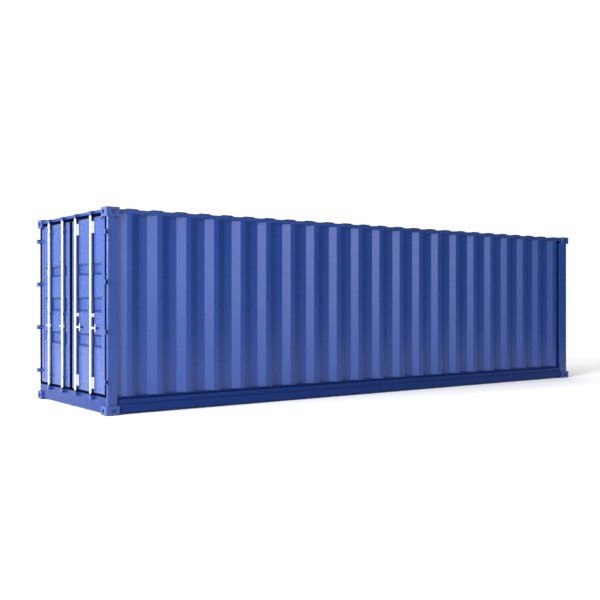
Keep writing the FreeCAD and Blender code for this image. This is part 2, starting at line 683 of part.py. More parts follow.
def locking_bar(side, place):
    """A round bar with a flat cam at each end, in front of the sill and the header."""
    name = f"{side}_{place}"
    x, y = minus(BAR_X), bar_place(side, place)
    centre = f"dims.{place}_bar_at"
    low, high = "dims.bar_low", "dims.bar_high"
    bar = rod(f"{name}_rod", "z", (x, y, low), "dims.bar_radius", f"{high} - {low}")
    cam_x = (f"({x} - dims.cam_thick)", x)
    cam_y = leaf_span(side, centre, f"({centre} + dims.cam_wide)")
    low_cam = block(f"{name}_low_cam", cam_x, cam_y,
                    (f"({low} - dims.cam_drop)", f"({low} + dims.cam_root)"))
    high_cam = block(f"{name}_high_cam", cam_x, cam_y,
                     (f"({high} - dims.cam_root)", f"({high} + dims.cam_rise)"))
    finish(fuse(f"{name}_bar_and_cams", [bar, low_cam, high_cam]), f"{name}_locking_bar")


def keepers():
    """Two cheeks stand beside each cam, on the sill and on the header."""
    x_face = minus(FRAME_END)
    x_span = (f"({x_face} - dims.keeper_thick)", x_face)
    low_z = ("(dims.bar_low - dims.cam_drop)", "(dims.sill_top - dims.keeper_inset)")
    high_z = ("(dims.header_low + dims.keeper_inset)",
              "(dims.header_high - dims.keeper_inset)")
    cheeks = []
    for level, z_span in (("sill", low_z), ("header", high_z)):
        for side, place in BARS:
            name = f"{level}_{side}_{place}"
            centre = f"dims.{place}_bar_at"
            near = f"({centre} - dims.cam_thick - dims.keeper_gap)"
            far = f"({centre} + dims.cam_wide + dims.keeper_gap)"
            cheeks.append(block(f"{name}_near_cheek", x_span,
                                leaf_span(side, f"({near} - dims.keeper_wide)", near), z_span))
            cheeks.append(block(f"{name}_far_cheek", x_span,
                                leaf_span(side, far, f"({far} + dims.keeper_wide)"), z_span))
    finish(together("cheeks", cheeks), "bar_keepers")


def brackets(side):
    """Bearing blocks between the leaf and its bars: long ones at the ends, one between."""
    x_leaf = minus(LEAF_X)
    x = minus(BAR_X)
    heights = [("low", "dims.bearing_low", "dims.bearing_low_top"),
               ("mid", "dims.bearing_mid", "dims.bearing_mid_top"),
               ("high", "dims.bearing_high", "dims.bearing_high_top")]
    blocks = []
    for place in ("outer", "inner"):
        y = bar_place(side, place)
        for tag, low, high in heights:
            if side == "left":
                middle = f"(({low} + {high}) / 2)"
                low, high = (f"({middle} - dims.small_bearing_high / 2)",
                             f"({middle} + dims.small_bearing_high / 2)")
            name = f"{side}_{place}_{tag}_bearing"
            foot = block(f"{name}_foot", (f"({x_leaf} - dims.bearing_foot)", x_leaf),
                         (f"({y} - dims.bearing_wide / 2)",
                          f"({y} + dims.bearing_wide / 2)"), (low, high))
            post = block(f"{name}_post", (x, x_leaf),
                         (f"({y} - dims.bearing_thick)", f"({y} + dims.bearing_thick)"),
                         (low, high))
            bore = rod(f"{name}_bore", "z", (x, y, f"({low} - dims.cut_margin)"),
                       "(dims.bar_radius + dims.bearing_gap)",
                       f"({high} - {low} + 2 * dims.cut_margin)")
            blocks.append(cut(name, fuse(f"{name}_solid", [foot, post]), bore))
    finish(together(f"{side}_bearings", blocks), f"{side}_bar_brackets")


def handle(side, place):
    """A saddle on the back of the bar, with a pointed lever that lies along the leaf.

    On the right door the lever ends in an upright plate.
    """
    name = f"{side}_{place}_handle"
    x, y = minus(BAR_X), bar_place(side, place)
    centre = f"dims.{place}_bar_at"
    hub = block(f"{name}_hub", (x, f"({x} + dims.hub_wide)"),
                (f"({y} - dims.hub_wide)", f"({y} + dims.hub_wide)"),
                ("dims.hub_low", "dims.hub_high"))
    middle = "((dims.hub_low + dims.hub_high) / 2)"
    root, tip = "(dims.lever_root / 2)", "(dims.lever_tip / 2)"
    end = f"({centre} + dims.lever_long)"
    start_y, end_y = (centre, end) if side == "left" else (minus(centre), minus(end))
    outline = [(start_y, f"({middle} - {root})"), (end_y, f"({middle} - {tip})"),
               (end_y, f"({middle} + {tip})"), (start_y, f"({middle} + {root})")]
    front = f"({x} + dims.lever_back - dims.lever_thick)"
    solids = [hub, prism(f"{name}_lever", "x", outline, front, "dims.lever_thick")]
    if side == "right":
        solids.append(block(
            f"{name}_end_plate", (front, f"({x} + dims.lever_back)"),
            leaf_span(side, f"({end} - dims.end_plate_wide)", end),
            (f"({middle} - dims.end_plate_high / 2)", f"({middle} + dims.end_plate_high / 2)")))
    bar = rod(f"{name}_bore", "z", (x, y, "(dims.hub_low - dims.cut_margin)"),
              "dims.bar_radius", "(dims.hub_high - dims.hub_low + 2 * dims.cut_margin)")
    whole = cut(f"{name}_on_bar", fuse(f"{name}_solid", solids), bar)
    finish(whole, f"{side}_{place}_handle")


# ---------------------------------------------------------------- build, check, write
castings()
posts()
side_rails()
side_walls()
front_end()
roof()
floor()
door_frame()
all_lugs = []
for door in ("right", "left"):
    door_leaf(door)
    all_lugs += hinges(door)
    brackets(door)
finish(together("lugs", all_lugs), "hinge_lugs")
for bar_side, bar_position in BARS:
    locking_bar(bar_side, bar_position)
    handle(bar_side, bar_position)
keepers()
doc.recompute()

for thing in doc.Objects:
    if "Invalid" in thing.State or "Error" in thing.State:
        raise RuntimeError(f"{thing.Label} is {thing.State}")
for piece in finished:
    if piece.Shape.isNull() or not piece.Shape.isValid():
        raise RuntimeError(f"{piece.Label} has no valid shape")

os.makedirs("parts", exist_ok=True)
for piece in finished:
    piece.Shape.exportStep(f"parts/{piece.Label}.step")
    print(f"{piece.Label}: {len(piece.Shape.Solids)} solids, "
          f"{piece.Shape.Volume / 1e6:.2f} litres")
print(len(finished), "pieces")
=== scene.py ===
# %% [markdown]
# # A steel shipping container, from frame to finished surface
#
# The real object is a welded box of folded and corrugated steel, nine metres long, with two
# doors at one end. Its strength and sizes are already settled in a CAD model, so nothing here
# moves or resizes a part. What is left is the work of a painter and a finisher: sheets with
# rolled bends in place of sharp ones, rubber seals, bolts, weld seams, and the finishes.

# %% Load the frame
import json
import math
import random
import bmesh
import bpy
from mathutils import Euler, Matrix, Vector


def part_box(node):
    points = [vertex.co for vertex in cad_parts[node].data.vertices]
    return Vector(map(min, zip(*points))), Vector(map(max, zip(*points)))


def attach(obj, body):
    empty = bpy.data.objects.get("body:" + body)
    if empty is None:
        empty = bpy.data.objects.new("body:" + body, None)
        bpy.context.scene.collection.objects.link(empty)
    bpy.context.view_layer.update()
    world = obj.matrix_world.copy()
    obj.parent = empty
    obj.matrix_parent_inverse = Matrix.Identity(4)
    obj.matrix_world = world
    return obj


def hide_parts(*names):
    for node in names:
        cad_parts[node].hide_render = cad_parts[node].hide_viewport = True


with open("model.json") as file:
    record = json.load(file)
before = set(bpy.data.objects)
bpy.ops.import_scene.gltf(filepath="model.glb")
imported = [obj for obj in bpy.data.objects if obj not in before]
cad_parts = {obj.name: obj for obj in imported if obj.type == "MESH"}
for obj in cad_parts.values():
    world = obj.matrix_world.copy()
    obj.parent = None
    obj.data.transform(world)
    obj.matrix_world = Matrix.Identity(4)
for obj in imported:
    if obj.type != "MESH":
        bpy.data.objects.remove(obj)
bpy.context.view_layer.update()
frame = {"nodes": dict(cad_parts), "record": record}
nodes = frame["nodes"]
print("pieces in the frame:", len(nodes))

# %% [markdown]
# ## The camera
#
# The viewer stands near the door end and looks along the long side, with the eye a little
# above half the container's height. A level camera keeps upright edges upright on the
# picture, which is how buildings and vehicles are usually shown. It could be aimed with a
# tracking constraint, but three plain numbers are easier to read and to repeat.

# %% Place the camera
EYE = Vector((-8.9345, -11.2200, 1.4345))
TURN_FROM_NORTH = -36.228
LENS, SENSOR_WIDE = 51.94, 36.0
VIEW_DISTANCE = 400.0

camera_data = bpy.data.cameras.new("camera")
camera_data.lens = LENS
camera_data.sensor_width = SENSOR_WIDE
camera_data.clip_end = VIEW_DISTANCE
camera = bpy.data.objects.new("camera", camera_data)
camera.location = EYE
camera.rotation_euler = Euler((math.radians(90), 0, math.radians(TURN_FROM_NORTH)))
bpy.context.scene.collection.objects.link(camera)
bpy.context.scene.camera = camera
print("camera height, metres:", round(EYE.z, 3))

# %% [markdown]
# ## A few helpers for nodes
#
# A Blender finish is a small graph of nodes, and so is the light that surrounds the scene.
# Each helper below adds a node, sets its values and returns it or its output, so the
# finishes further down read as a list of decisions. Patterns come from the piece's own
# coordinates in metres, which keeps the grain the same size on every piece.

# %% Add nodes and read coordinates


def new_finish(name):
    finish = bpy.data.materials.new(name)
    finish.use_nodes = True
    tree = finish.node_tree
    return finish, tree, tree.nodes["Principled BSDF"]


def add(tree, kind, inputs=None, **settings):
    """Add one node; settings are its properties, inputs its unlinked sockets or links."""
    made = tree.nodes.new(kind)
    for key, value in settings.items():
        setattr(made, key, value)
    for socket, value in (inputs or {}).items():
        if isinstance(value, bpy.types.NodeSocket):
            tree.links.new(value, made.inputs[socket])
        else:
            made.inputs[socket].default_value = value
    return made


def own_coordinates(tree, stretch=(1, 1, 1)):
    """The piece's own coordinates in metres, scaled on each axis."""
    place = add(tree, "ShaderNodeTexCoord")
    return add(tree, "ShaderNodeMapping",
               {"Vector": place.outputs["Object"], "Scale": stretch}).outputs["Vector"]


print("helpers: new_finish, add, own_coordinates")

# %% Noise, ranges, blends and bumps
MIX_FACTOR, MIX_FIRST, MIX_SECOND, MIX_RESULT = 0, 6, 7, 2  # a colour Mix node's sockets


def grain(tree, scale, stretch=(1, 1, 1), detail=4.0, roughness=0.55):
    """Noise between 0 and 1; `scale` is how many blotches fit in a metre."""
    return add(tree, "ShaderNodeTexNoise",
               {"Vector": own_coordinates(tree, stretch), "Scale": scale,
                "Detail": detail, "Roughness": roughness}).outputs["Fac"]


def between(tree, factor, low, high, to_low=0.0, to_high=1.0):
    """Rescale a value from low..high to to_low..to_high, and stop at the ends."""
    return add(tree, "ShaderNodeMapRange",
               {"Value": factor, "From Min": low, "From Max": high,
                "To Min": to_low, "To Max": to_high}).outputs["Result"]


def colour_mix(tree, factor, first, second):
    """Blend two colours by a factor; each may be a colour or another node's output."""
    mixed = add(tree, "ShaderNodeMix", data_type="RGBA")
    for index, value in ((MIX_FACTOR, factor), (MIX_FIRST, first), (MIX_SECOND, second)):
        if isinstance(value, bpy.types.NodeSocket):
            tree.links.new(value, mixed.inputs[index])
        else:
            mixed.inputs[index].default_value = value
    return mixed.outputs[MIX_RESULT]


def bumps(tree, shader, *layers):
    """Stack height layers of (height, strength, distance), coarse first."""
    below = None
    for height, strength, distance in layers:
        inputs = {"Height": height, "Strength": strength, "Distance": distance}
        if below:
            inputs["Normal"] = below
        below = add(tree, "ShaderNodeBump", inputs).outputs["Normal"]
    tree.links.new(below, shader.inputs["Normal"])


print("helpers: grain, between, colour_mix, bumps")

# %% [markdown]
# ## The studio
#
# A pale floor and a white surround make a plain product studio. The surround is bright
# behind the container and dimmer on the viewer's side, which leaves the slopes that face
# away dark. Two lamps stand off the door end, so the doors are the brightest face and the
# bars throw short shadows. A wide panel far out on the long side is there for its
# reflection, which runs down the other slopes as a soft gloss, and a weak, broad sun
# overhead keeps the floor white. Area lamps are used near the doors because their size
# decides how soft a shadow is. The floor is kept to the ground in view, since a larger one
# would throw more light back up under the model than a studio does.

# %% Studio floor
FLOOR_BOX = ((-16.0, -12.0), (9.5, 20.0))
PALE = (0.93, 0.93, 0.93, 1)


def stage_floor():
    mesh = bpy.data.meshes.new("studio_floor")
    (left, near), (right, far) = FLOOR_BOX
    mesh.from_pydata([(left, near, 0), (right, near, 0), (right, far, 0), (left, far, 0)],
                     [], [(0, 1, 2, 3)])
    floor = bpy.data.objects.new("studio_floor", mesh)
    bpy.context.scene.collection.objects.link(floor)
    pale, tree, shader = new_finish("studio_pale")
    shader.inputs["Base Color"].default_value = PALE
    shader.inputs["Roughness"].default_value = 1.0
    shader.inputs["Specular IOR Level"].default_value = 0.0
    mesh.materials.append(pale)


stage_floor()
print("floor, metres:", [far - near for near, far in zip(*FLOOR_BOX)])

# %% Surround
BRIGHT_SIDE = (-0.30, 0.954, 0.0)
SURROUND_FADE = {"From Min": -0.15, "From Max": 0.28, "To Min": 0.21, "To Max": 1.1}


def surround():
    """Bright behind the container, dimmer on the viewer's side, the same at every height."""
    world = bpy.data.worlds.new("surround")
    world.use_nodes = True
    tree = world.node_tree
    direction = add(tree, "ShaderNodeTexCoord").outputs["Generated"]
    towards = add(tree, "ShaderNodeVectorMath", {0: direction, 1: BRIGHT_SIDE},
                  operation="DOT_PRODUCT").outputs["Value"]
    fade = add(tree, "ShaderNodeMapRange", {"Value": towards, **SURROUND_FADE},
               interpolation_type="SMOOTHSTEP").outputs["Result"]
    background = tree.nodes["Background"]
    background.inputs["Color"].default_value = (1, 1, 1, 1)
    tree.links.new(fade, background.inputs["Strength"])
    bpy.context.scene.world = world


surround()
print("surround strength:", SURROUND_FADE["To Min"], "to", SURROUND_FADE["To Max"])

# %% Lamps: where each stands, what it points at, its width and height, and its watts
LAMPS = {
    "key_lamp": ((-25.0, -9.5, 8.0), (-2.0, -1.2, 1.2), (9, 9), 12500),
    "door_lamp": ((-18.0, 6.0, 5.0), (-4.5, 0.0, 1.6), (9, 8), 3600),
    "side_panel": ((-5.0, -40.0, 6.6), (-5.0, -1.2, 6.6), (27, 13), 5900),
}
SKY_STRENGTH, SKY_SPREAD = 0.9, math.radians(50)


def lamp(name, place, target, size, watts):
    data = bpy.data.lights.new(name, "AREA")
    data.shape = "RECTANGLE"
    data.size, data.size_y = size
    data.energy = watts
    thing = bpy.data.objects.new(name, data)
    thing.location = place
    aim = Vector(target) - Vector(place)
    thing.rotation_euler = aim.to_track_quat("-Z", "Y").to_euler()
    bpy.context.scene.collection.objects.link(thing)


for name, settings in LAMPS.items():
    lamp(name, *settings)
sky = bpy.data.lights.new("overhead", "SUN")
sky.energy = SKY_STRENGTH
sky.angle = SKY_SPREAD
bpy.context.scene.collection.objects.link(bpy.data.objects.new("overhead", sky))
bpy.context.scene.view_settings.view_transform = "Standard"

# %% [markdown]
# ## Marine paint
#
# The walls, posts, rails and doors carry two sprayed coats of blue marine paint. Seen close
# it has a fine orange-peel skin; seen from afar the colour drifts a little from sheet to
# sheet, and dust lies in faint upright streaks where rain has run. The lowest parts are
# painted darker towards the ground as painted shade, and the door sheets' slopes that face
# up or down are painted darker as painted shade in the folds. One function makes all three
# kinds of paint, because only the amounts of painted shade and shine differ. The colour is
# built from noise rather than an image, so it has no seams on corrugated sheet. The shine
# comes from the shader's own gloss, not from painted highlights.

# %% Marine paint
BLUE = (0.0075, 0.0325, 0.165, 1)
BLUE_WORN = (0.0098, 0.0370, 0.174, 1)
BLUE_DEEP = (0.0060, 0.0275, 0.146, 1)
DUST = (0.022, 0.048, 0.158, 1)
# painted shade: the darker blue laid over the lowest parts, towards the ground
LOW_SHADE_BLUE = (0.0015, 0.0090, 0.065, 1)
# painted shade: the darker blue laid on door-sheet slopes that face up or down
FOLD_SHADE_BLUE = (0.0022, 0.0160, 0.105, 1)
LOW_SHADE_FULL, LOW_SHADE_GONE = 0.22, 0.45  # metres above the ground
LEAN_UNSHADED, LEAN_FULLY_SHADED = 0.15, 0.50  # how far up or down a surface faces


def marine_paint(name, low_shade_share, specular, folds=0.0):
    """Painted shade: the second argument darkens the lowest parts, `folds` the slopes of folds.
    """
    finish, tree, shader = new_finish(name)
    drift = between(tree, grain(tree, 0.7, detail=2.0), 0.35, 0.65)
    body = colour_mix(tree, drift, BLUE_DEEP, BLUE_WORN)
    speckle = between(tree, grain(tree, 60, detail=6.0), 0.40, 0.62)
    body = colour_mix(tree, speckle, BLUE, body)
    streaks = between(tree, grain(tree, 5.0, (1, 1, 0.06), detail=5.0), 0.52, 0.80, 0.0, 0.16)
    body = colour_mix(tree, streaks, body, DUST)
    height = add(tree, "ShaderNodeSeparateXYZ",
                 {"Vector": own_coordinates(tree)}).outputs["Z"]
    # painted shade: darker towards the ground, full below the lower level and gone above the
    # upper
    low_shade_mask = between(tree, height, LOW_SHADE_FULL, LOW_SHADE_GONE, low_shade_share, 0.0)
    body = colour_mix(tree, low_shade_mask, body, LOW_SHADE_BLUE)
    # painted shade on the folds: slopes that face up or down are darkened by how steeply they
    # lean
    if folds:
        facing = add(tree, "ShaderNodeNewGeometry").outputs["True Normal"]
        lean = add(tree, "ShaderNodeSeparateXYZ", {"Vector": facing}).outputs["Z"]
        lean = add(tree, "ShaderNodeMath", {0: lean}, operation="ABSOLUTE").outputs["Value"]
        fold_shade_mask = between(tree, lean, LEAN_UNSHADED, LEAN_FULLY_SHADED, 0.0, folds)
        body = colour_mix(tree, fold_shade_mask, body, FOLD_SHADE_BLUE)
    tree.links.new(body, shader.inputs["Base Color"])
    gloss = between(tree, grain(tree, 9, detail=5.0), 0.3, 0.7, 0.25, 0.30)
    tree.links.new(gloss, shader.inputs["Roughness"])
    bumps(tree, shader, (grain(tree, 1.2, detail=1.0), 0.06, 0.008),
          (grain(tree, 420, detail=2.0), 0.04, 0.0008))
    shader.inputs["Specular IOR Level"].default_value = specular
    return finish


# The second number is how much painted shade darkens the lowest parts; `folds` darkens the door
# sheets' slopes as painted shade.
finishes = {"container_paint": marine_paint("marine_blue_paint", 0.10, 0.36),
            "chassis_paint": marine_paint("waxed_chassis_paint", 0.60, 0.08),
            "door_paint": marine_paint("door_sheet_paint", 0.10, 0.36, folds=0.75)}
print("finishes so far:", sorted(finishes))

# %% [markdown]
# ## Painted castings
#
# The corner castings are cast steel, so the paint on them lies over a coarse, pebbled skin
# left by the sand mould. The colour is the same blue, a little darker in patches. A
# pattern of cells gives the pebbles, which plain noise would only smear.

# %% Cast steel under paint


def casting_paint():
    finish, tree, shader = new_finish("painted_cast_steel")
    pebbles = add(tree, "ShaderNodeTexVoronoi",
                  {"Vector": own_coordinates(tree), "Scale": 240.0}).outputs["Distance"]
    patches = between(tree, grain(tree, 14, detail=6.0), 0.38, 0.66)
    body = colour_mix(tree, patches, BLUE, BLUE_DEEP)
    tree.links.new(body, shader.inputs["Base Color"])
    rough = between(tree, grain(tree, 30), 0.3, 0.7, 0.42, 0.62)
    tree.links.new(rough, shader.inputs["Roughness"])
    bumps(tree, shader, (grain(tree, 22, detail=6.0), 0.35, 0.003), (pebbles, 0.30, 0.0012))
    return finish


finishes["casting_paint"] = casting_paint()
print("finishes so far:", sorted(finishes))

# %% [markdown]
# ## Bright zinc
#
# The locking bars, their handles and the right-hand brackets are zinc-coated and stay almost
# white. Hot-dip zinc freezes in flat crystals, the spangle, a centimetre or so across, so
# the brightness is broken up by cells. It is kept mostly non-metallic: a fully metallic
# surface would mirror the dark paint behind it and lose the bright look.

# %% Bright zinc
ZINC_LIGHT = (0.40, 0.41, 0.44, 1)
ZINC_SHADE = (0.30, 0.31, 0.35, 1)
ZINC_METALLIC = 0.12


def bright_zinc():
    finish, tree, shader = new_finish("bright_zinc")
    cells = add(tree, "ShaderNodeTexVoronoi",
                {"Vector": own_coordinates(tree), "Scale": 85.0}).outputs["Color"]
    spangle = add(tree, "ShaderNodeSeparateColor", {"Color": cells}).outputs["Red"]
    body = colour_mix(tree, between(tree, spangle, 0, 1, 0.0, 0.45), ZINC_LIGHT, ZINC_SHADE)
    tree.links.new(body, shader.inputs["Base Color"])
    tree.links.new(between(tree, spangle, 0, 1, 0.30, 0.48), shader.inputs["Roughness"])
    shader.inputs["Metallic"].default_value = ZINC_METALLIC
    bumps(tree, shader, (grain(tree, 160), 0.15, 0.0008))
    return finish


finishes["galvanised_steel"] = bright_zinc()
print("finishes so far:", sorted(finishes))

# %% [markdown]
# ## Rubber and floor board
#
# Door rubber is black and almost without shine, with a fine grain left by the mould. The
# floor is made of thick plywood boards, sealed in brown: the grain runs along the container,
# so its noise is stretched along X. Rubber could be left plain, but a faint grey bloom keeps
# its black from looking like a hole.

# %% Rubber
RUBBER = (0.0006, 0.0006, 0.0009, 1)
RUBBER_BLOOM = (0.0018, 0.0018, 0.0024, 1)


def door_rubber():
    finish, tree, shader = new_finish("door_rubber")
    bloom = between(tree, grain(tree, 18), 0.45, 0.75, 0.0, 0.5)
    body = colour_mix(tree, bloom, RUBBER, RUBBER_BLOOM)
    tree.links.new(body, shader.inputs["Base Color"])
    shader.inputs["Roughness"].default_value = 0.95
    shader.inputs["Specular IOR Level"].default_value = 0.02
    bumps(tree, shader, (grain(tree, 700, detail=2.0), 0.25, 0.0006))
    return finish


finishes["door_rubber"] = door_rubber()
print("finishes so far:", sorted(finishes))

# %% Floor plywood
PLY_DARK, PLY_LIGHT = (0.17, 0.075, 0.032, 1), (0.34, 0.17, 0.078, 1)
PLY_SCUFFED = (0.42, 0.29, 0.19, 1)


def floor_plywood():
    finish, tree, shader = new_finish("floor_plywood")
    veins = grain(tree, 26, (0.06, 1, 1), detail=8.0, roughness=0.7)
    body = colour_mix(tree, between(tree, veins, 0.35, 0.65), PLY_DARK, PLY_LIGHT)
    scuffs = between(tree, grain(tree, 4, (0.25, 1, 1), detail=7.0), 0.55, 0.75, 0.0, 0.5)
    body = colour_mix(tree, scuffs, body, PLY_SCUFFED)
    tree.links.new(body, shader.inputs["Base Color"])
    tree.links.new(between(tree, veins, 0.3, 0.7, 0.45, 0.7), shader.inputs["Roughness"])
    bumps(tree, shader, (veins, 0.25, 0.0012))
    return finish


finishes["floor_plywood"] = floor_plywood()
print("finishes so far:", sorted(finishes))

# %% [markdown]
# ## A finish for every CAD piece
#
# The frame's record names a finish for each of its pieces, and here each one gets it. The
# waxed and duller kind of paint goes on the sill and the bottom rails, where it carries
# six times the painted shade towards the ground, and on the header over the doors, where
# rain stands. Doing this in one loop, before anything new is made, leaves no piece grey.

# %% Finishes on the CAD pieces
WAXED = ("door_header", "door_sill", "bottom_side_rail_right", "bottom_side_rail_left",
         "front_bottom_rail", "floor_bearers")

subparts = frame["record"]["subparts"]
for subpart in subparts:
    mesh = nodes[subpart["node"]].data
    mesh.materials.clear()
    waxed = subpart["node"] in WAXED
    mesh.materials.append(finishes["chassis_paint" if waxed else subpart["material_slot"]])
print("CAD pieces with a finish:", len(subparts))

# %% [markdown]
# ## Making a piece
#
# Every piece below starts as lists of corners and faces. This helper turns the lists into an
# object, gives it the finish that its slot or its own finish name picks, and hangs it on the
# body that carries it. Faces are shaded smooth unless they meet at a sharp angle, which is
# what keeps a rolled bend soft and a cut edge crisp.

# %% Piece helper
SMOOTH_UP_TO = math.radians(32)


def piece(name, corners, faces, body, slot, replaces=(), smooth=True, finish=None):
    mesh = bpy.data.meshes.new(name)
    mesh.from_pydata([tuple(c) for c in corners], [], faces)
    mesh.validate()
    shell = bmesh.new()
    shell.from_mesh(mesh)
    bmesh.ops.recalc_face_normals(shell, faces=shell.faces)
    shell.to_mesh(mesh)
    shell.free()
    if smooth:
        mesh.polygons.foreach_set("use_smooth", [True] * len(mesh.polygons))
        mesh.set_sharp_from_angle(angle=SMOOTH_UP_TO)
    mesh.materials.append(finishes[finish or slot])
    thing = bpy.data.objects.new(name, mesh)
    bpy.context.scene.collection.objects.link(thing)
    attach(thing, body)
    if replaces:
        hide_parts(*replaces)
    return thing


print("smooth up to, degrees:", round(math.degrees(SMOOTH_UP_TO)))

# %% [markdown]
# ## Corrugated sheet
#
# A press folds flat steel into trapezoid waves, and each fold keeps a small radius. The CAD
# sheet has sharp folds, so it is replaced: the section is drawn as a row of corner points,
# each corner is swapped for a short arc, and the row is pulled out to the sheet's length.
# A Bevel modifier could round the folds too, but drawing the arcs keeps their radius exact
# and the mesh light. The same function makes the two side walls, the front wall and the
# roof, because only their directions and sizes differ.

# %% Rounded folds
FOLD_STEPS = 4
FOLD_SHARE = 0.45  # the most of a flat stretch that one fold may take


def rounded(points, radius):
    """Swap each inner corner of a flat line of points for a short arc."""
    result = [points[0]]
    for before, corner, after in zip(points, points[1:], points[2:]):
        back = Vector(before) - Vector(corner)
        ahead = Vector(after) - Vector(corner)
        turn = math.pi - back.angle(ahead)
        reach = min(radius * math.tan(turn / 2), FOLD_SHARE * back.length,
                    FOLD_SHARE * ahead.length)
        start = Vector(corner) + back.normalized() * reach
        end = Vector(corner) + ahead.normalized() * reach
        for step in range(FOLD_STEPS + 1):
            t = step / FOLD_STEPS
            first = start.lerp(Vector(corner), t)
            second = Vector(corner).lerp(end, t)
            result.append(tuple(first.lerp(second, t)))
    result.append(points[-1])
    return result


print("points in each fold:", FOLD_STEPS + 1)

# %% One wave after another


def height_at(points, place):
    """The height of a line of points at one place along it."""
    for (a, low), (b, high) in zip(points, points[1:]):
        if a <= place <= b:
            return low + (high - low) * (place - a) / (b - a) if b > a else low
    return 0.0


def wave(start, end, first_crest, pitch, face, slope, depth):
    """Corner points of a trapezoid wave: distance along, and height from 0 to depth."""
    half = face / 2
    points, crest = [], first_crest
    while crest - slope - half > start - pitch:
        crest -= pitch
    while crest - slope - half < end + pitch:
        points += [(crest - half - slope, 0.0), (crest - half, depth),
                   (crest + half, depth), (crest + half + slope, 0.0)]
        crest += pitch
    inside = [p for p in points if start < p[0] < end]
    return [(start, height_at(points, start))] + inside + [(end, height_at(points, end))]


sample = wave(0.0, 1.0, 0.25, 0.5, 0.1, 0.1, 0.05)
print("corners in a metre with two waves:", len(sample))

# %% Pull a section into a sheet


def even_levels(low, high, count):
    return [low + (high - low) * i / (count - 1) for i in range(count)]


def pulled_sheet(section, thick, levels, place):
    """A closed sheet: the section pulled through `levels`, with `thick` behind it.

    `place(along, height, level)` turns sheet coordinates into a corner of the model.
    """
    back = [(along, height - thick) for along, height in section]
    ring = section + back[::-1]
    corners = [place(along, height, level) for level in levels for along, height in ring]
    faces = []
    n = len(ring)
    for row in range(len(levels) - 1):
        for i in range(n):
            j = (i + 1) % n
            faces.append((row * n + i, row * n + j, (row + 1) * n + j, (row + 1) * n + i))
    half = len(section)
    for row, flip in ((0, False), (len(levels) - 1, True)):
        for i in range(half - 1):
            face = [row * n + i, row * n + n - 1 - i, row * n + n - 2 - i, row * n + i + 1]
            faces.append(tuple(face[::-1] if flip else face))
    return corners, faces


print("levels across a metre:", even_levels(0.0, 1.0, 3))

# %% [markdown]
# ## The side walls
#
# Each side has twenty-one waves. The outer faces are narrow, the slopes shallow, and the
# wall stops at the posts and rails that it is welded to. The numbers come from the box of
# the CAD wall: its ends, its height and the depth of its wave. A real sheet is never quite
# flat; an uneven sheet could be modelled, but the paint's slow bumps give the same faint
# unevenness to the reflections and leave the geometry exact.

# %% Side walls
WALL_PITCH, WALL_FACE, WALL_SLOPE = 0.421, 0.079, 0.112
WALL_SHEET, WALL_FOLD = 0.004, 0.030
DOOR_POST_FACE, DOOR_POST_DEEP = -4.5375, 0.146
WALL_FIRST_CREST = DOOR_POST_FACE + DOOR_POST_DEEP + WALL_SLOPE + WALL_FACE / 2
WALL_LEVELS = 9


def side_wall_section(side):
    """The wall's outline, the sign of its side, and how far out its lowest steel is."""
    low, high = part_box(f"side_wall_{side}")
    depth = high.y - low.y - WALL_SHEET
    section = rounded(wave(low.x, high.x, WALL_FIRST_CREST, WALL_PITCH, WALL_FACE, WALL_SLOPE,
                           depth), WALL_FOLD)
    return section, -1 if side == "right" else 1, max(abs(low.y), abs(high.y)) - depth


def side_wall(side):
    node = f"side_wall_{side}"
    low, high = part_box(node)
    section, sign, steel = side_wall_section(side)

    def place(along, height, level):
        return (along, sign * (steel + height), level)

    levels = even_levels(low.z, high.z, WALL_LEVELS)
    corners, faces = pulled_sheet(section, WALL_SHEET, levels, place)
    wall = piece(f"{node}_sheet", corners, faces, "container", "container_paint", [node])
    print(wall.name, "corners:", len(corners))


for side in ("right", "left"):
    side_wall(side)

# %% [markdown]
# ## The roof and the front wall
#
# The roof is the same kind of sheet laid flat, with low, wide waves that run across the
# container and shed water. The front wall is like a side wall turned a quarter. Both use the
# helpers above; only the line that places the section differs, so each sheet gets its own
# short `place` function. The roof's waves would be open at their ends, where the CAD rails
# stand a little lower, so a folded strip along each rail closes them.

# %% Roof
ROOF_PITCH, ROOF_FACE, ROOF_SLOPE, ROOF_SHEET = 0.350, 0.130, 0.045, 0.003
ROOF_FIRST_CREST, ROOF_FOLD = -4.55, 0.020
ROOF_LEVELS = 7
EDGE_STRIP = 0.004


def roof_section():
    low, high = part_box("roof")
    depth = high.z - low.z - ROOF_SHEET
    section = wave(low.x, high.x, ROOF_FIRST_CREST, ROOF_PITCH, ROOF_FACE, ROOF_SLOPE, depth)
    return rounded(section, ROOF_FOLD), high.z - depth


def roof_sheet():
    low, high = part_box("roof")
    section, trough = roof_section()

    def place(along, height, level):
        return (along, level, trough + height)

    levels = even_levels(low.y, high.y, ROOF_LEVELS)
    corners, faces = pulled_sheet(section, ROOF_SHEET, levels, place)
    return piece("roof_pressed_sheet", corners, faces, "container", "container_paint", ["roof"])


def roof_edge_strips():
    """Folded strips that close the waves' open ends along both top rails."""
    low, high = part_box("roof")
    section, trough = roof_section()
    count = len(section)
    corners, faces = [], []
    for inner, outer in ((low.y - EDGE_STRIP, low.y), (high.y, high.y + EDGE_STRIP)):
        start = len(corners)
        for y in (inner, outer):
            corners += [(x, y, low.z) for x, _ in section]
            corners += [(x, y, trough + height) for x, height in section]
        foot_in, head_in, foot_out, head_out = (start + k * count for k in range(4))
        for i in range(count - 1):
            for a, b in ((foot_in, head_in), (foot_out, head_out), (head_in, head_out),
                         (foot_in, foot_out)):
                faces.append((a + i, a + i + 1, b + i + 1, b + i))
        for i in (0, count - 1):
            faces.append((foot_in + i, head_in + i, head_out + i, foot_out + i))
    return piece("roof_edge_strips", corners, faces, "container", "container_paint")


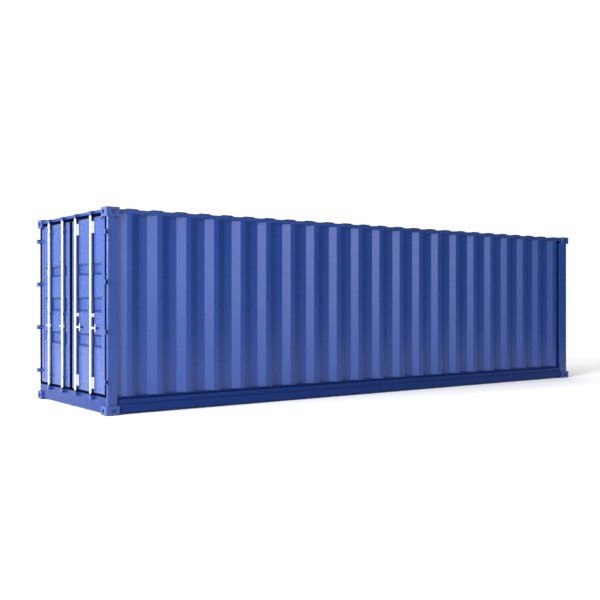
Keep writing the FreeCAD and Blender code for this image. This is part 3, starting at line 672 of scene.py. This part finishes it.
for sheet in (roof_sheet(), roof_edge_strips()):
    print(sheet.name, "corners:", len(sheet.data.vertices))

# %% Front wall
FRONT_WIDE, FRONT_WAVES = 2 * 1.144, 5
FRONT_PITCH = FRONT_WIDE / FRONT_WAVES
FRONT_LEVELS = 7


def front_sheet():
    low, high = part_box("front_wall")
    depth = high.x - low.x - WALL_SHEET
    section = rounded(wave(low.y, high.y, low.y + FRONT_PITCH / 2, FRONT_PITCH, WALL_FACE,
                           WALL_SLOPE, depth), WALL_FOLD)

    def place(along, height, level):
        return (high.x - depth + height, along, level)

    levels = even_levels(low.z, high.z, FRONT_LEVELS)
    corners, faces = pulled_sheet(section, WALL_SHEET, levels, place)
    return piece("front_wall_sheet", corners, faces, "container", "container_paint",
                 ["front_wall"])


print("front wall corners:", len(front_sheet().data.vertices))

# %% [markdown]
# ## The door sheets
#
# Each door is a welded frame round one pressed sheet. Two upright troughs give the locking
# bars room, and three level rows of shallow pans stiffen the sheet, stopping at a narrow
# land beside each trough. A Displace modifier with a painted map could press the pans, but
# they would come out soft. Here the depth is worked out at each crossing of a grid whose
# lines follow the folds, which keeps the edges straight.

# %% Troughs and pans
LEAF_FACE = -4.5345
BARS = {"right_outer": -0.7395, "right_inner": -0.2325,
        "left_inner": 0.2325, "left_outer": 0.7395}
TROUGH_HALF, TROUGH_DEEP, TROUGH_WALL = 0.033, 0.028, 0.005
PAN_DEEP, PAN_SLOPE = 0.030, 0.036
PAN_ROWS = ((0.823, 1.006), (1.273, 1.479), (1.749, 1.916))
PAN_STRETCHES = {"left": ((0.156, 0.2655), (0.3105, 0.7725), (0.8175, 1.014)),
                 "right": ((-1.014, -0.7065), (-0.6615, -0.1995))}
DOOR_SHEET = 0.004
STRAIGHT_SHARE = 0.6


def eased(t):
    """From 0 to 1, straight in the middle and a little rounded at both ends."""
    t = min(max(t, 0.0), 1.0)
    return STRAIGHT_SHARE * t + (1 - STRAIGHT_SHARE) * t * t * (3 - 2 * t)


def pressed_depth(side, y, z):
    """How far a point of the door sheet lies behind its face."""
    depth = 0.0
    for name, bar_y in BARS.items():
        if name.startswith(side):
            depth = max(depth, TROUGH_DEEP * eased((TROUGH_HALF - abs(y - bar_y)) / TROUGH_WALL))
    for low_z, high_z in PAN_ROWS:
        for low_y, high_y in PAN_STRETCHES[side]:
            inside = min(y - low_y, high_y - y, z - low_z, high_z - z)
            depth = max(depth, PAN_DEEP * eased(inside / PAN_SLOPE))
    return depth


def fold_lines(ends, spans, run, parts=4):
    """Grid lines: the two ends, and a few lines on each side of every pressed span."""
    lines = set(ends)
    for low, high in spans:
        for i in range(parts + 1):
            lines |= {round(low + run * i / parts, 5), round(high - run * i / parts, 5)}
    return sorted(line for line in lines if ends[0] <= line <= ends[1])


print("depth in the middle of a pan:", pressed_depth("left", 0.5, sum(PAN_ROWS[0]) / 2))

# %% A door sheet on its grid


def door_sheet(side):
    node = f"{side}_door_panel"
    low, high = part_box(node)
    troughs = [(y - TROUGH_HALF, y + TROUGH_HALF) for name, y in BARS.items()
               if name.startswith(side)]
    across = sorted(set(fold_lines((low.y, high.y), PAN_STRETCHES[side], PAN_SLOPE))
                    | set(fold_lines((low.y, high.y), troughs, TROUGH_WALL, 2)))
    up = fold_lines((low.z, high.z), PAN_ROWS, PAN_SLOPE)
    wide, count = len(across), len(across) * len(up)
    corners = []
    for back in (0.0, DOOR_SHEET):
        corners += [(low.x + pressed_depth(side, y, z) + back, y, z) for z in up for y in across]
    faces = []
    for row in range(len(up) - 1):
        for i in range(wide - 1):
            a = row * wide + i
            front = (a, a + 1, a + wide + 1, a + wide)
            faces += [front, tuple(count + k for k in front[::-1])]
    rim = (list(range(wide)) + [r * wide + wide - 1 for r in range(1, len(up))]
           + list(range(count - 2, count - wide - 1, -1))
           + [r * wide for r in range(len(up) - 2, 0, -1)])
    faces += [(a, b, count + b, count + a) for a, b in zip(rim, rim[1:] + rim[:1])]
    return piece(f"{side}_door_sheet", corners, faces, f"{side}_door", "container_paint", [node],
                 finish="door_paint")


for side in ("right", "left"):
    print(side, "door sheet corners:", len(door_sheet(side).data.vertices))

# %% [markdown]
# ## Turned and cut shapes
#
# Bars, bolts, pins and cams are either turned on a lathe or cut from plate. Blender's own
# cylinders would do for the plain ones, but a turned solid takes a whole profile with its
# collars and bevels at once. Each function gives corners and faces, and `gathered` joins
# many of them, so all the bolts of a door become one light mesh rather than many objects.

# %% A turned solid
ROUND_STEPS = 24


def turned(profile, centre, axis, steps=ROUND_STEPS):
    """A lathe's shape: the profile lists (distance along the axis, radius), end to end."""
    corners, faces = [], []
    for along, radius in profile:
        for i in range(steps):
            angle = 2 * math.pi * i / steps
            u, v = radius * math.cos(angle), radius * math.sin(angle)
            offset = {"x": (along, u, v), "y": (u, along, v), "z": (u, v, along)}[axis]
            corners.append(tuple(c + o for c, o in zip(centre, offset)))
    for row in range(len(profile) - 1):
        for i in range(steps):
            j = (i + 1) % steps
            faces.append((row * steps + i, row * steps + j, (row + 1) * steps + j,
                          (row + 1) * steps + i))
    last = (len(profile) - 1) * steps
    faces += [tuple(range(steps)), tuple(range(last, last + steps))]
    return corners, faces


pin_corners, pin_faces = turned([(0.0, 0.01), (0.05, 0.01)], (0, 0, 0), "z")
print("a plain pin has", len(pin_corners), "corners and", len(pin_faces), "faces")

# %% A cut plate, and many shapes in one


def cut_plate(outline, front, back):
    """A flat plate across X, its outline a list of (y, z)."""
    count = len(outline)
    corners = [(x, y, z) for x in (front, back) for y, z in outline]
    faces = [tuple(range(count)), tuple(range(count, 2 * count))]
    faces += [(i, (i + 1) % count, count + (i + 1) % count, count + i) for i in range(count)]
    return corners, faces


def gathered(shapes):
    corners, faces = [], []
    for some_corners, some_faces in shapes:
        start = len(corners)
        corners += some_corners
        faces += [tuple(start + i for i in face) for face in some_faces]
    return corners, faces


print("two pins gathered:", len(gathered([(pin_corners, pin_faces)] * 2)[0]), "corners")

# %% [markdown]
# ## The locking bars
#
# A bar is a steel tube with a forged cam welded to each end. The tube is zinc-coated, and
# the cams are painted with the body. The bar is made as a turned solid, so it is truly
# round, with a raised collar under each bearing that keeps it from sliding down. The
# cams are cut plates with a blunt nose, and both pieces ride the bar's own body, so that
# they turn with it.

# %% The profile of a bar
BAR_X = -4.566
BAR_RADIUS, COLLAR_RADIUS, HUB_RADIUS = 0.0155, 0.0180, 0.0175
BAR_LOW, BAR_HIGH = 0.226, 2.527
COLLARS = (0.285, 0.470, 1.195, 1.285, 2.270, 2.456)
COLLAR_HALF, COLLAR_FOOT = 0.007, 0.009
BAR_BEVEL, HUB_BEVEL = 0.0015, 0.002


def bar_profile():
    """Distance up the bar and radius, with every collar as a short step."""
    profile = [(BAR_LOW, BAR_RADIUS - BAR_BEVEL), (BAR_LOW + BAR_BEVEL, BAR_RADIUS)]
    for middle in COLLARS:
        profile += [(middle - COLLAR_FOOT, BAR_RADIUS), (middle - COLLAR_HALF, COLLAR_RADIUS),
                    (middle + COLLAR_HALF, COLLAR_RADIUS), (middle + COLLAR_FOOT, BAR_RADIUS)]
    return profile + [(BAR_HIGH - BAR_BEVEL, BAR_RADIUS), (BAR_HIGH, BAR_RADIUS - BAR_BEVEL)]


print("points in a bar's profile:", len(bar_profile()))

# %% Bars with their cams
CAM_THICK, CAM_WIDE = 0.0155, 0.030
CAMS = ((0.170, 0.246), (2.561, 2.507))  # levels of the nose and of the root
CAM_OUTLINE = ((0.0, 0.0), (0.35, 0.0), (0.75, 0.12), (0.80, 0.40), (1.0, 0.52), (1.0, 0.90),
               (0.80, 1.0), (0.25, 1.0), (0.0, 0.86))
HUBS = ((0.200, 0.244), (2.509, 2.545))


def cam(centre_y, outward, nose, root):
    """A cam's plate; its outline runs from the root, 0, to the nose, 1."""
    outline = [(centre_y + outward * CAM_WIDE * across, root + (nose - root) * along)
               for across, along in CAM_OUTLINE]
    return cut_plate(outline, BAR_X - CAM_THICK, BAR_X)


def hub(y, low, high):
    profile = [(low, HUB_RADIUS - HUB_BEVEL), (low + HUB_BEVEL, HUB_RADIUS),
               (high - HUB_BEVEL, HUB_RADIUS), (high, HUB_RADIUS - HUB_BEVEL)]
    return turned(profile, (BAR_X, y, 0.0), "z")


def locking_bar(name, y):
    body, outward = f"{name}_bar", 1 if y > 0 else -1
    corners, faces = turned(bar_profile(), (BAR_X, y, 0.0), "z")
    piece(f"{name}_bar_tube", corners, faces, body, "galvanised_steel", [f"{name}_locking_bar"])
    shapes = [cam(y, outward, *levels) for levels in CAMS] + [hub(y, *levels) for levels in HUBS]
    piece(f"{name}_bar_cams", *gathered(shapes), body, "container_paint")


for name, y in BARS.items():
    locking_bar(name, y)
print("bars:", sorted(BARS), "collars on each:", len(COLLARS))

# %% [markdown]
# ## Bolts on the brackets
#
# Each bearing bracket is bolted through the door frame: two bolts on a short one, four on a
# long one. A bolt head is a six-sided turned solid on a round washer. They could be copies
# of one object, but one joined mesh for a door keeps the outliner short and rides the door
# as one piece.

# %% Bracket bolts
FOOT_THICK = 0.008
FOOT_FACE = LEAF_FACE - FOOT_THICK
BRACKETS = ((0.305, 0.452), (1.219, 1.264), (2.289, 2.438))
LONG_BRACKET, BOLT_INSET = 0.1, 0.022
BOLT_OUT = 0.036
BOLT_RADIUS, WASHER_RADIUS, TIP_RADIUS = 0.0075, 0.0075 * 1.35, 0.0075 * 0.82
WASHER_TOP, HEAD_TOP, TIP_TOP = 0.0016, 0.0050, 0.0058


def bolt(place):
    """A washer and a six-sided head that stand out towards -X."""
    washer = turned([(0.0, WASHER_RADIUS), (-WASHER_TOP, WASHER_RADIUS)], place, "x")
    head = turned([(-WASHER_TOP, BOLT_RADIUS), (-HEAD_TOP, BOLT_RADIUS),
                   (-TIP_TOP, TIP_RADIUS)], place, "x", 6)
    return [washer, head]


def bracket_bolts(side, slot):
    shapes = []
    for name, y in BARS.items():
        if not name.startswith(side):
            continue
        for low, high in BRACKETS:
            levels = [(low + high) / 2]
            if side == "right" and high - low > LONG_BRACKET:
                levels = [low + BOLT_INSET, high - BOLT_INSET]
            for z in levels:
                for offset in (-BOLT_OUT, BOLT_OUT):
                    shapes += bolt((FOOT_FACE, y + offset, z))
    piece(f"{side}_bracket_bolts", *gathered(shapes), f"{side}_door", slot)
    print(side, "door bolts:", len(shapes) // 2)


bracket_bolts("right", "galvanised_steel")
bracket_bolts("left", "container_paint")

# %% [markdown]
# ## Handle fittings
#
# The levers on the right door end in an upright plate, and just past each plate a rubber
# buffer stands on the door. The hub of every lever is clamped to its bar by a cross bolt.
# The buffer belongs to the door and the bolt to the bar, so they are two pieces: when the
# bar turns, the bolt goes with it and the buffer stays.

# %% Buffers and clamp bolts
HANDLE_LEVEL = 1.079
BUFFER_OUT, BUFFER_SUNK = 0.152, 0.003
BUFFER_PROFILE = ((0.0, 0.011), (-0.012, 0.011), (-0.016, 0.009), (-0.018, 0.005))
CLAMP_X, NUT_LEVEL, PIN_LEVEL = BAR_X + 0.014, HANDLE_LEVEL + 0.012, HANDLE_LEVEL - 0.010
NUT_HALF, NUT_RADIUS = 0.019, 0.006
PIN_HALF, PIN_RADIUS = 0.0235, 0.0035


def cross_rod(y, level, half, radius, steps):
    """A short rod through a lever's hub, from side to side."""
    return turned([(-half, radius), (half, radius)], (CLAMP_X, y, level), "y", steps)


def handle_fittings(name, y):
    outward = 1 if y > 0 else -1
    if name.startswith("right"):
        place = (LEAF_FACE + BUFFER_SUNK, y + outward * BUFFER_OUT, HANDLE_LEVEL)
        buffer = turned(BUFFER_PROFILE, place, "x")
        piece(f"{name}_lever_buffer", *buffer, "right_door", "door_rubber")
    rods = [cross_rod(y, NUT_LEVEL, NUT_HALF, NUT_RADIUS, 6),
            cross_rod(y, PIN_LEVEL, PIN_HALF, PIN_RADIUS, 12)]
    piece(f"{name}_clamp_bolt", *gathered(rods), f"{name}_bar", "galvanised_steel")


for name, y in BARS.items():
    handle_fittings(name, y)
print("clamp bolts:", len(BARS))

# %% [markdown]
# ## The door seals
#
# The rubber round each door is an extrusion with a hollow bulb on its lip, which is squeezed
# when the door shuts. The CAD strips are plain blocks, so they are swapped for strips that
# come flush with the door's face, as pressed-out rubber does. They could be one outline cut
# from plate, but four slabs a door are easier to read. The outer and the upper one stop
# short of the corner casting. The strips belong to the door and swing with it.

# %% A slab


def slab(x, y, z):
    corners = [(a, b, c) for a in x for b in y for c in z]
    faces = [(0, 1, 3, 2), (4, 6, 7, 5), (0, 4, 5, 1), (2, 3, 7, 6), (0, 2, 6, 4), (1, 5, 7, 3)]
    return corners, faces


print("a slab has", len(slab((0, 1), (0, 1), (0, 1))[1]), "faces")

# %% Seal strips
SEAL_FACE = LEAF_FACE
LEAF_SPAN, LEAF_LEVELS = (0.049, 1.107), (0.257, 2.487)
SEAL_SPAN, SEAL_LEVELS = (0.005, 1.163), (0.226, 2.528)
STEP_SPAN, STEP_LEVEL = 1.052, 2.468


def seal_strips(side):
    depth = (SEAL_FACE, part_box(f"{side}_door_gasket")[1].x)
    strips = [((SEAL_SPAN[0], LEAF_SPAN[0]), SEAL_LEVELS),
              ((LEAF_SPAN[1], SEAL_SPAN[1]), (SEAL_LEVELS[0], STEP_LEVEL)),
              (LEAF_SPAN, (SEAL_LEVELS[0], LEAF_LEVELS[0])),
              ((LEAF_SPAN[0], STEP_SPAN), (LEAF_LEVELS[1], SEAL_LEVELS[1]))]
    shapes = []
    for (near, far), levels in strips:
        across = (near, far) if side == "left" else (-far, -near)
        shapes.append(slab(depth, across, levels))
    return piece(f"{side}_seal_strips", *gathered(shapes), f"{side}_door", "door_rubber",
                 [f"{side}_door_gasket"], smooth=False)


for side in ("right", "left"):
    print(side, "seal strips:", len(seal_strips(side).data.polygons) // 6)

# %% [markdown]
# ## Bulbs and ribs on the seals
#
# The lips of a seal are long, thin and rounded, and a weld seam has the same form. Blender
# can give a curve a round bevel, but a curve has to be turned into a mesh before it is
# exported. A bead along a path is the same thing made directly: a small ring of corners is
# set square to the path at every corner, and the rings are joined. A bulb runs along the
# middle of each strip, with a thin rib on both sides, closer together on narrow strips.

# %% A bead along a path


def bead(path, radius, closed=False, steps=6):
    """A round bead along a path; the ring is kept square to the path at every corner."""
    points = [Vector(p) for p in path]
    count = len(points)
    corners, faces = [], []
    for i, point in enumerate(points):
        before = points[i - 1] if i or closed else point
        after = points[(i + 1) % count] if i < count - 1 or closed else point
        ahead = (after - before).normalized()
        side = ahead.cross(Vector((0, 0, 1)))
        if side.length < 0.1:
            side = ahead.cross(Vector((1, 0, 0)))
        side.normalize()
        up = side.cross(ahead)
        for step in range(steps):
            angle = 2 * math.pi * step / steps
            corners.append(tuple(point + radius * (math.cos(angle) * side
                                                   + math.sin(angle) * up)))
    for i in range(count if closed else count - 1):
        j = (i + 1) % count
        for step in range(steps):
            following = (step + 1) % steps
            faces.append((i * steps + step, i * steps + following, j * steps + following,
                          j * steps + step))
    if not closed:
        last = (count - 1) * steps
        faces += [tuple(range(steps)), tuple(range(last, last + steps))]
    return corners, faces


print("a straight bead has", len(bead([(0, 0, 0), (0, 0, 1)], 0.01)[1]), "faces")

# %% Seal bulbs and ribs
SEAL_INNER, SEAL_OUTER = 0.027, 1.135
SEAL_LOW, SEAL_HIGH = 0.2415, 2.5075
SEAL_STEP_Y, SEAL_STEP_Z = 1.029, 2.455
BULB, RIB, RIB_APART = 0.0052, 0.0022, 0.011
INNER_SHARE, LEVEL_SHARE = 0.8, 0.7


def seal(side):
    sign = 1 if side == "left" else -1
    shapes = []
    for offset, radius in ((0.0, BULB), (-RIB_APART, RIB), (RIB_APART, RIB)):
        near, far = SEAL_INNER + offset * INNER_SHARE, SEAL_OUTER - offset
        low, high = SEAL_LOW + offset * LEVEL_SHARE, SEAL_HIGH - offset * LEVEL_SHARE
        corner_y = SEAL_STEP_Y - offset
        path = [(near, low), (far, low), (far, SEAL_STEP_Z - offset),
                (corner_y, SEAL_STEP_Z - offset), (corner_y, high), (near, high)]
        shapes.append(bead([(SEAL_FACE, sign * y, z) for y, z in path], radius, closed=True))
    piece(f"{side}_seal_bulb", *gathered(shapes), f"{side}_door", "door_rubber")


for side in ("right", "left"):
    seal(side)
print("seals at X:", SEAL_FACE)

# %% [markdown]
# ## Blind casting holes
#
# A hole in the side or the end of a corner casting should look like a shallow, shaded
# pocket. Both open into the same hollow, so daylight can show through from one to the other
# as a bright dot. A thin painted plate inside the hollow, a casting wall's thickness behind
# each hole and clear of the upright slots, stops it. A finish alone could not do this,
# because nothing is there for a finish to lie on.

# %% Casting blanks
CASTING_END, CASTING_SIDE, CASTING_WALL = 4.5625, 1.219, 0.020
HOLE_FROM_END, HOLE_FROM_SIDE = 0.1035, 0.0895
HOLE_HALF_LONG, HOLE_HALF_HIGH, HOLE_LEVELS = 0.044, 0.030, (0.059, 2.532)
BLANK = 0.003


def casting_blanks():
    shapes = []
    back_x, back_y = CASTING_END - CASTING_WALL, CASTING_SIDE - CASTING_WALL
    for level in HOLE_LEVELS:
        up = (level - HOLE_HALF_HIGH, level + HOLE_HALF_HIGH)
        for end in (-1, 1):
            for side in (-1, 1):
                x = end * (CASTING_END - HOLE_FROM_END)
                y = side * (CASTING_SIDE - HOLE_FROM_SIDE)
                shapes.append(slab((x - HOLE_HALF_LONG, x + HOLE_HALF_LONG),
                                   sorted((side * (back_y - BLANK), side * back_y)), up))
                shapes.append(slab(sorted((end * (back_x - BLANK), end * back_x)),
                                   (y - HOLE_HALF_LONG, y + HOLE_HALF_LONG), up))
    return piece("casting_hole_blanks", *gathered(shapes), "container", "casting_paint",
                 smooth=False)


print("casting blanks:", len(casting_blanks().data.polygons) // 6)

# %% [markdown]
# ## Painted shadow in the front corners
#
# Where a wall ends against a front post, the deep corner lies in shade, and that shade is
# painted as a broad black strip in the rubber finish. A finish could draw a dark stripe on
# the wall, but a strip stands a little proud of the steel, so it is a slab of its own that
# covers the foot of the wall's last slope.

# %% Painted shadow beside the front posts
SHADOW_STRIP_WIDE, SHADOW_STRIP_PROUD = 0.038, 0.012


# painted shadow: a black slab laid over the corner where the wall meets the front post
def paint_corner_shadows():
    shapes = []
    for side in ("right", "left"):
        low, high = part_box(f"side_wall_{side}")
        _, sign, steel = side_wall_section(side)
        shapes.append(slab((high.x - SHADOW_STRIP_WIDE, high.x),
                           sorted((sign * steel, sign * (steel + SHADOW_STRIP_PROUD))),
                           (low.z, high.z)))
    return piece("front_corner_painted_shadow", *gathered(shapes), "container", "door_rubber",
                 smooth=False)


print("painted corner shadows:", len(paint_corner_shadows().data.polygons) // 6)

# %% [markdown]
# ## Weld beads
#
# A container is held together by welds, and they show as thin raised lines: along the foot
# and head of each corrugated wall, down both ends of it, round each door sheet, and where
# the posts meet the castings. A bead along a path draws each of them. Its radius drifts by a
# random amount, the same on every run because the random numbers start from a fixed seed.

# %% Weld beads
WELD, WELD_SUNK, WELD_PROUD = 0.0045, 0.3, 0.001
DOOR_WELD, DOOR_WELD_SUNK = 0.0035, 0.0005
rng = random.Random(11)


def wall_welds(side):
    low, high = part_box(f"side_wall_{side}")
    section, sign, steel = side_wall_section(side)
    shapes = []
    for level in (low.z + WELD * WELD_SUNK, high.z - WELD * WELD_SUNK):
        path = [(x, sign * (steel + height + WELD_PROUD), level) for x, height in section]
        shapes.append(bead(path, WELD * rng.uniform(0.9, 1.1)))
    for x in (low.x + WELD_PROUD, high.x - WELD_PROUD):
        y = sign * (steel + height_at(section, x) + WELD_PROUD)
        shapes.append(bead([(x, y, low.z), (x, y, high.z - WELD_PROUD)], WELD))
    return gathered(shapes)


def door_sheet_weld(side):
    low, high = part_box(f"{side}_door_panel")
    x = low.x + DOOR_WELD_SUNK
    path = [(x, low.y, low.z), (x, high.y, low.z), (x, high.y, high.z), (x, low.y, high.z)]
    return bead(path, DOOR_WELD, closed=True)


for side in ("right", "left"):
    piece(f"side_wall_{side}_weld", *wall_welds(side), "container", "container_paint")
    piece(f"{side}_door_sheet_weld", *door_sheet_weld(side), f"{side}_door", "container_paint")
print("weld bead radius, millimetres:", WELD * 1000)

# %% Weld beads where posts meet castings
POST_END, POST_SIDE, POST_INNER_SIDE, POST_CORNER = 4.5370, 1.1935, 1.1440, 0.018
POST_BACK = {-1: 4.4050, 1: 4.3400}  # the door posts are shallower than the front posts
POST_LEVELS = (0.118, 2.473)


def post_welds():
    shapes = []
    for end in (-1, 1):
        for side in (-1, 1):
            out_x, in_x = end * POST_END, end * POST_BACK[end]
            out_y, in_y = side * POST_SIDE, side * POST_INNER_SIDE
            for level in POST_LEVELS:
                path = [(in_x, in_y, level), (in_x, out_y, level),
                        (out_x - end * POST_CORNER, out_y, level),
                        (out_x, out_y - side * POST_CORNER, level), (out_x, in_y, level)]
                shapes.append(bead(path, WELD * rng.uniform(0.95, 1.2)))
    return gathered(shapes)


corners, faces = post_welds()
piece("corner_post_welds", corners, faces, "container", "container_paint")
print("post weld corners:", len(corners))

# %% [markdown]
# ## The floor
#
# The floor is laid in thick plywood boards, screwed down to every cross bearer. It shows
# when the doors stand open. The single CAD slab is swapped for boards with a narrow gap
# between them, and each screw is a small disc. Doing the gaps in geometry rather than in
# the finish makes them real in the mesh itself.

# %% Floor boards
BOARD_GAP = 0.003
BOARDS_ALONG, BOARDS_ACROSS = 4, 2


def floor_boards():
    low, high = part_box("floor")
    long = (high.x - low.x) / BOARDS_ALONG
    wide = (high.y - low.y) / BOARDS_ACROSS
    shapes = []
    for i in range(BOARDS_ALONG):
        for j in range(BOARDS_ACROSS):
            x, y = low.x + i * long, low.y + j * wide
            shapes.append(slab((x + (BOARD_GAP if i else 0), x + long),
                               (y + (BOARD_GAP if j else 0), y + wide), (low.z, high.z)))
    return piece("floor_boards", *gathered(shapes), "container", "floor_plywood", ["floor"])


print("floor board faces:", len(floor_boards().data.polygons))

# %% Floor screws
BEARERS, BEARER_PITCH, BEARER_SHIFT = 29, 0.309, 0.004
SCREW_ROWS, SCREW_INSET, END_CLEAR = 10, 0.07, 0.01
SCREW_PROFILE = ((-0.002, 0.0065), (0.0005, 0.0065), (0.0008, 0.005))


def floor_screws():
    low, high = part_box("floor")
    shapes = []
    for i in range(BEARERS):
        x = (i - (BEARERS - 1) / 2) * BEARER_PITCH + BEARER_SHIFT
        if low.x + END_CLEAR < x < high.x - END_CLEAR:
            for j in range(SCREW_ROWS):
                y = (low.y + SCREW_INSET
                     + (high.y - low.y - 2 * SCREW_INSET) * j / (SCREW_ROWS - 1))
                shapes.append(turned(SCREW_PROFILE, (x, y, high.z), "z", 10))
    return piece("floor_screws", *gathered(shapes), "container", "galvanised_steel")


print("floor screw faces:", len(floor_screws().data.polygons))
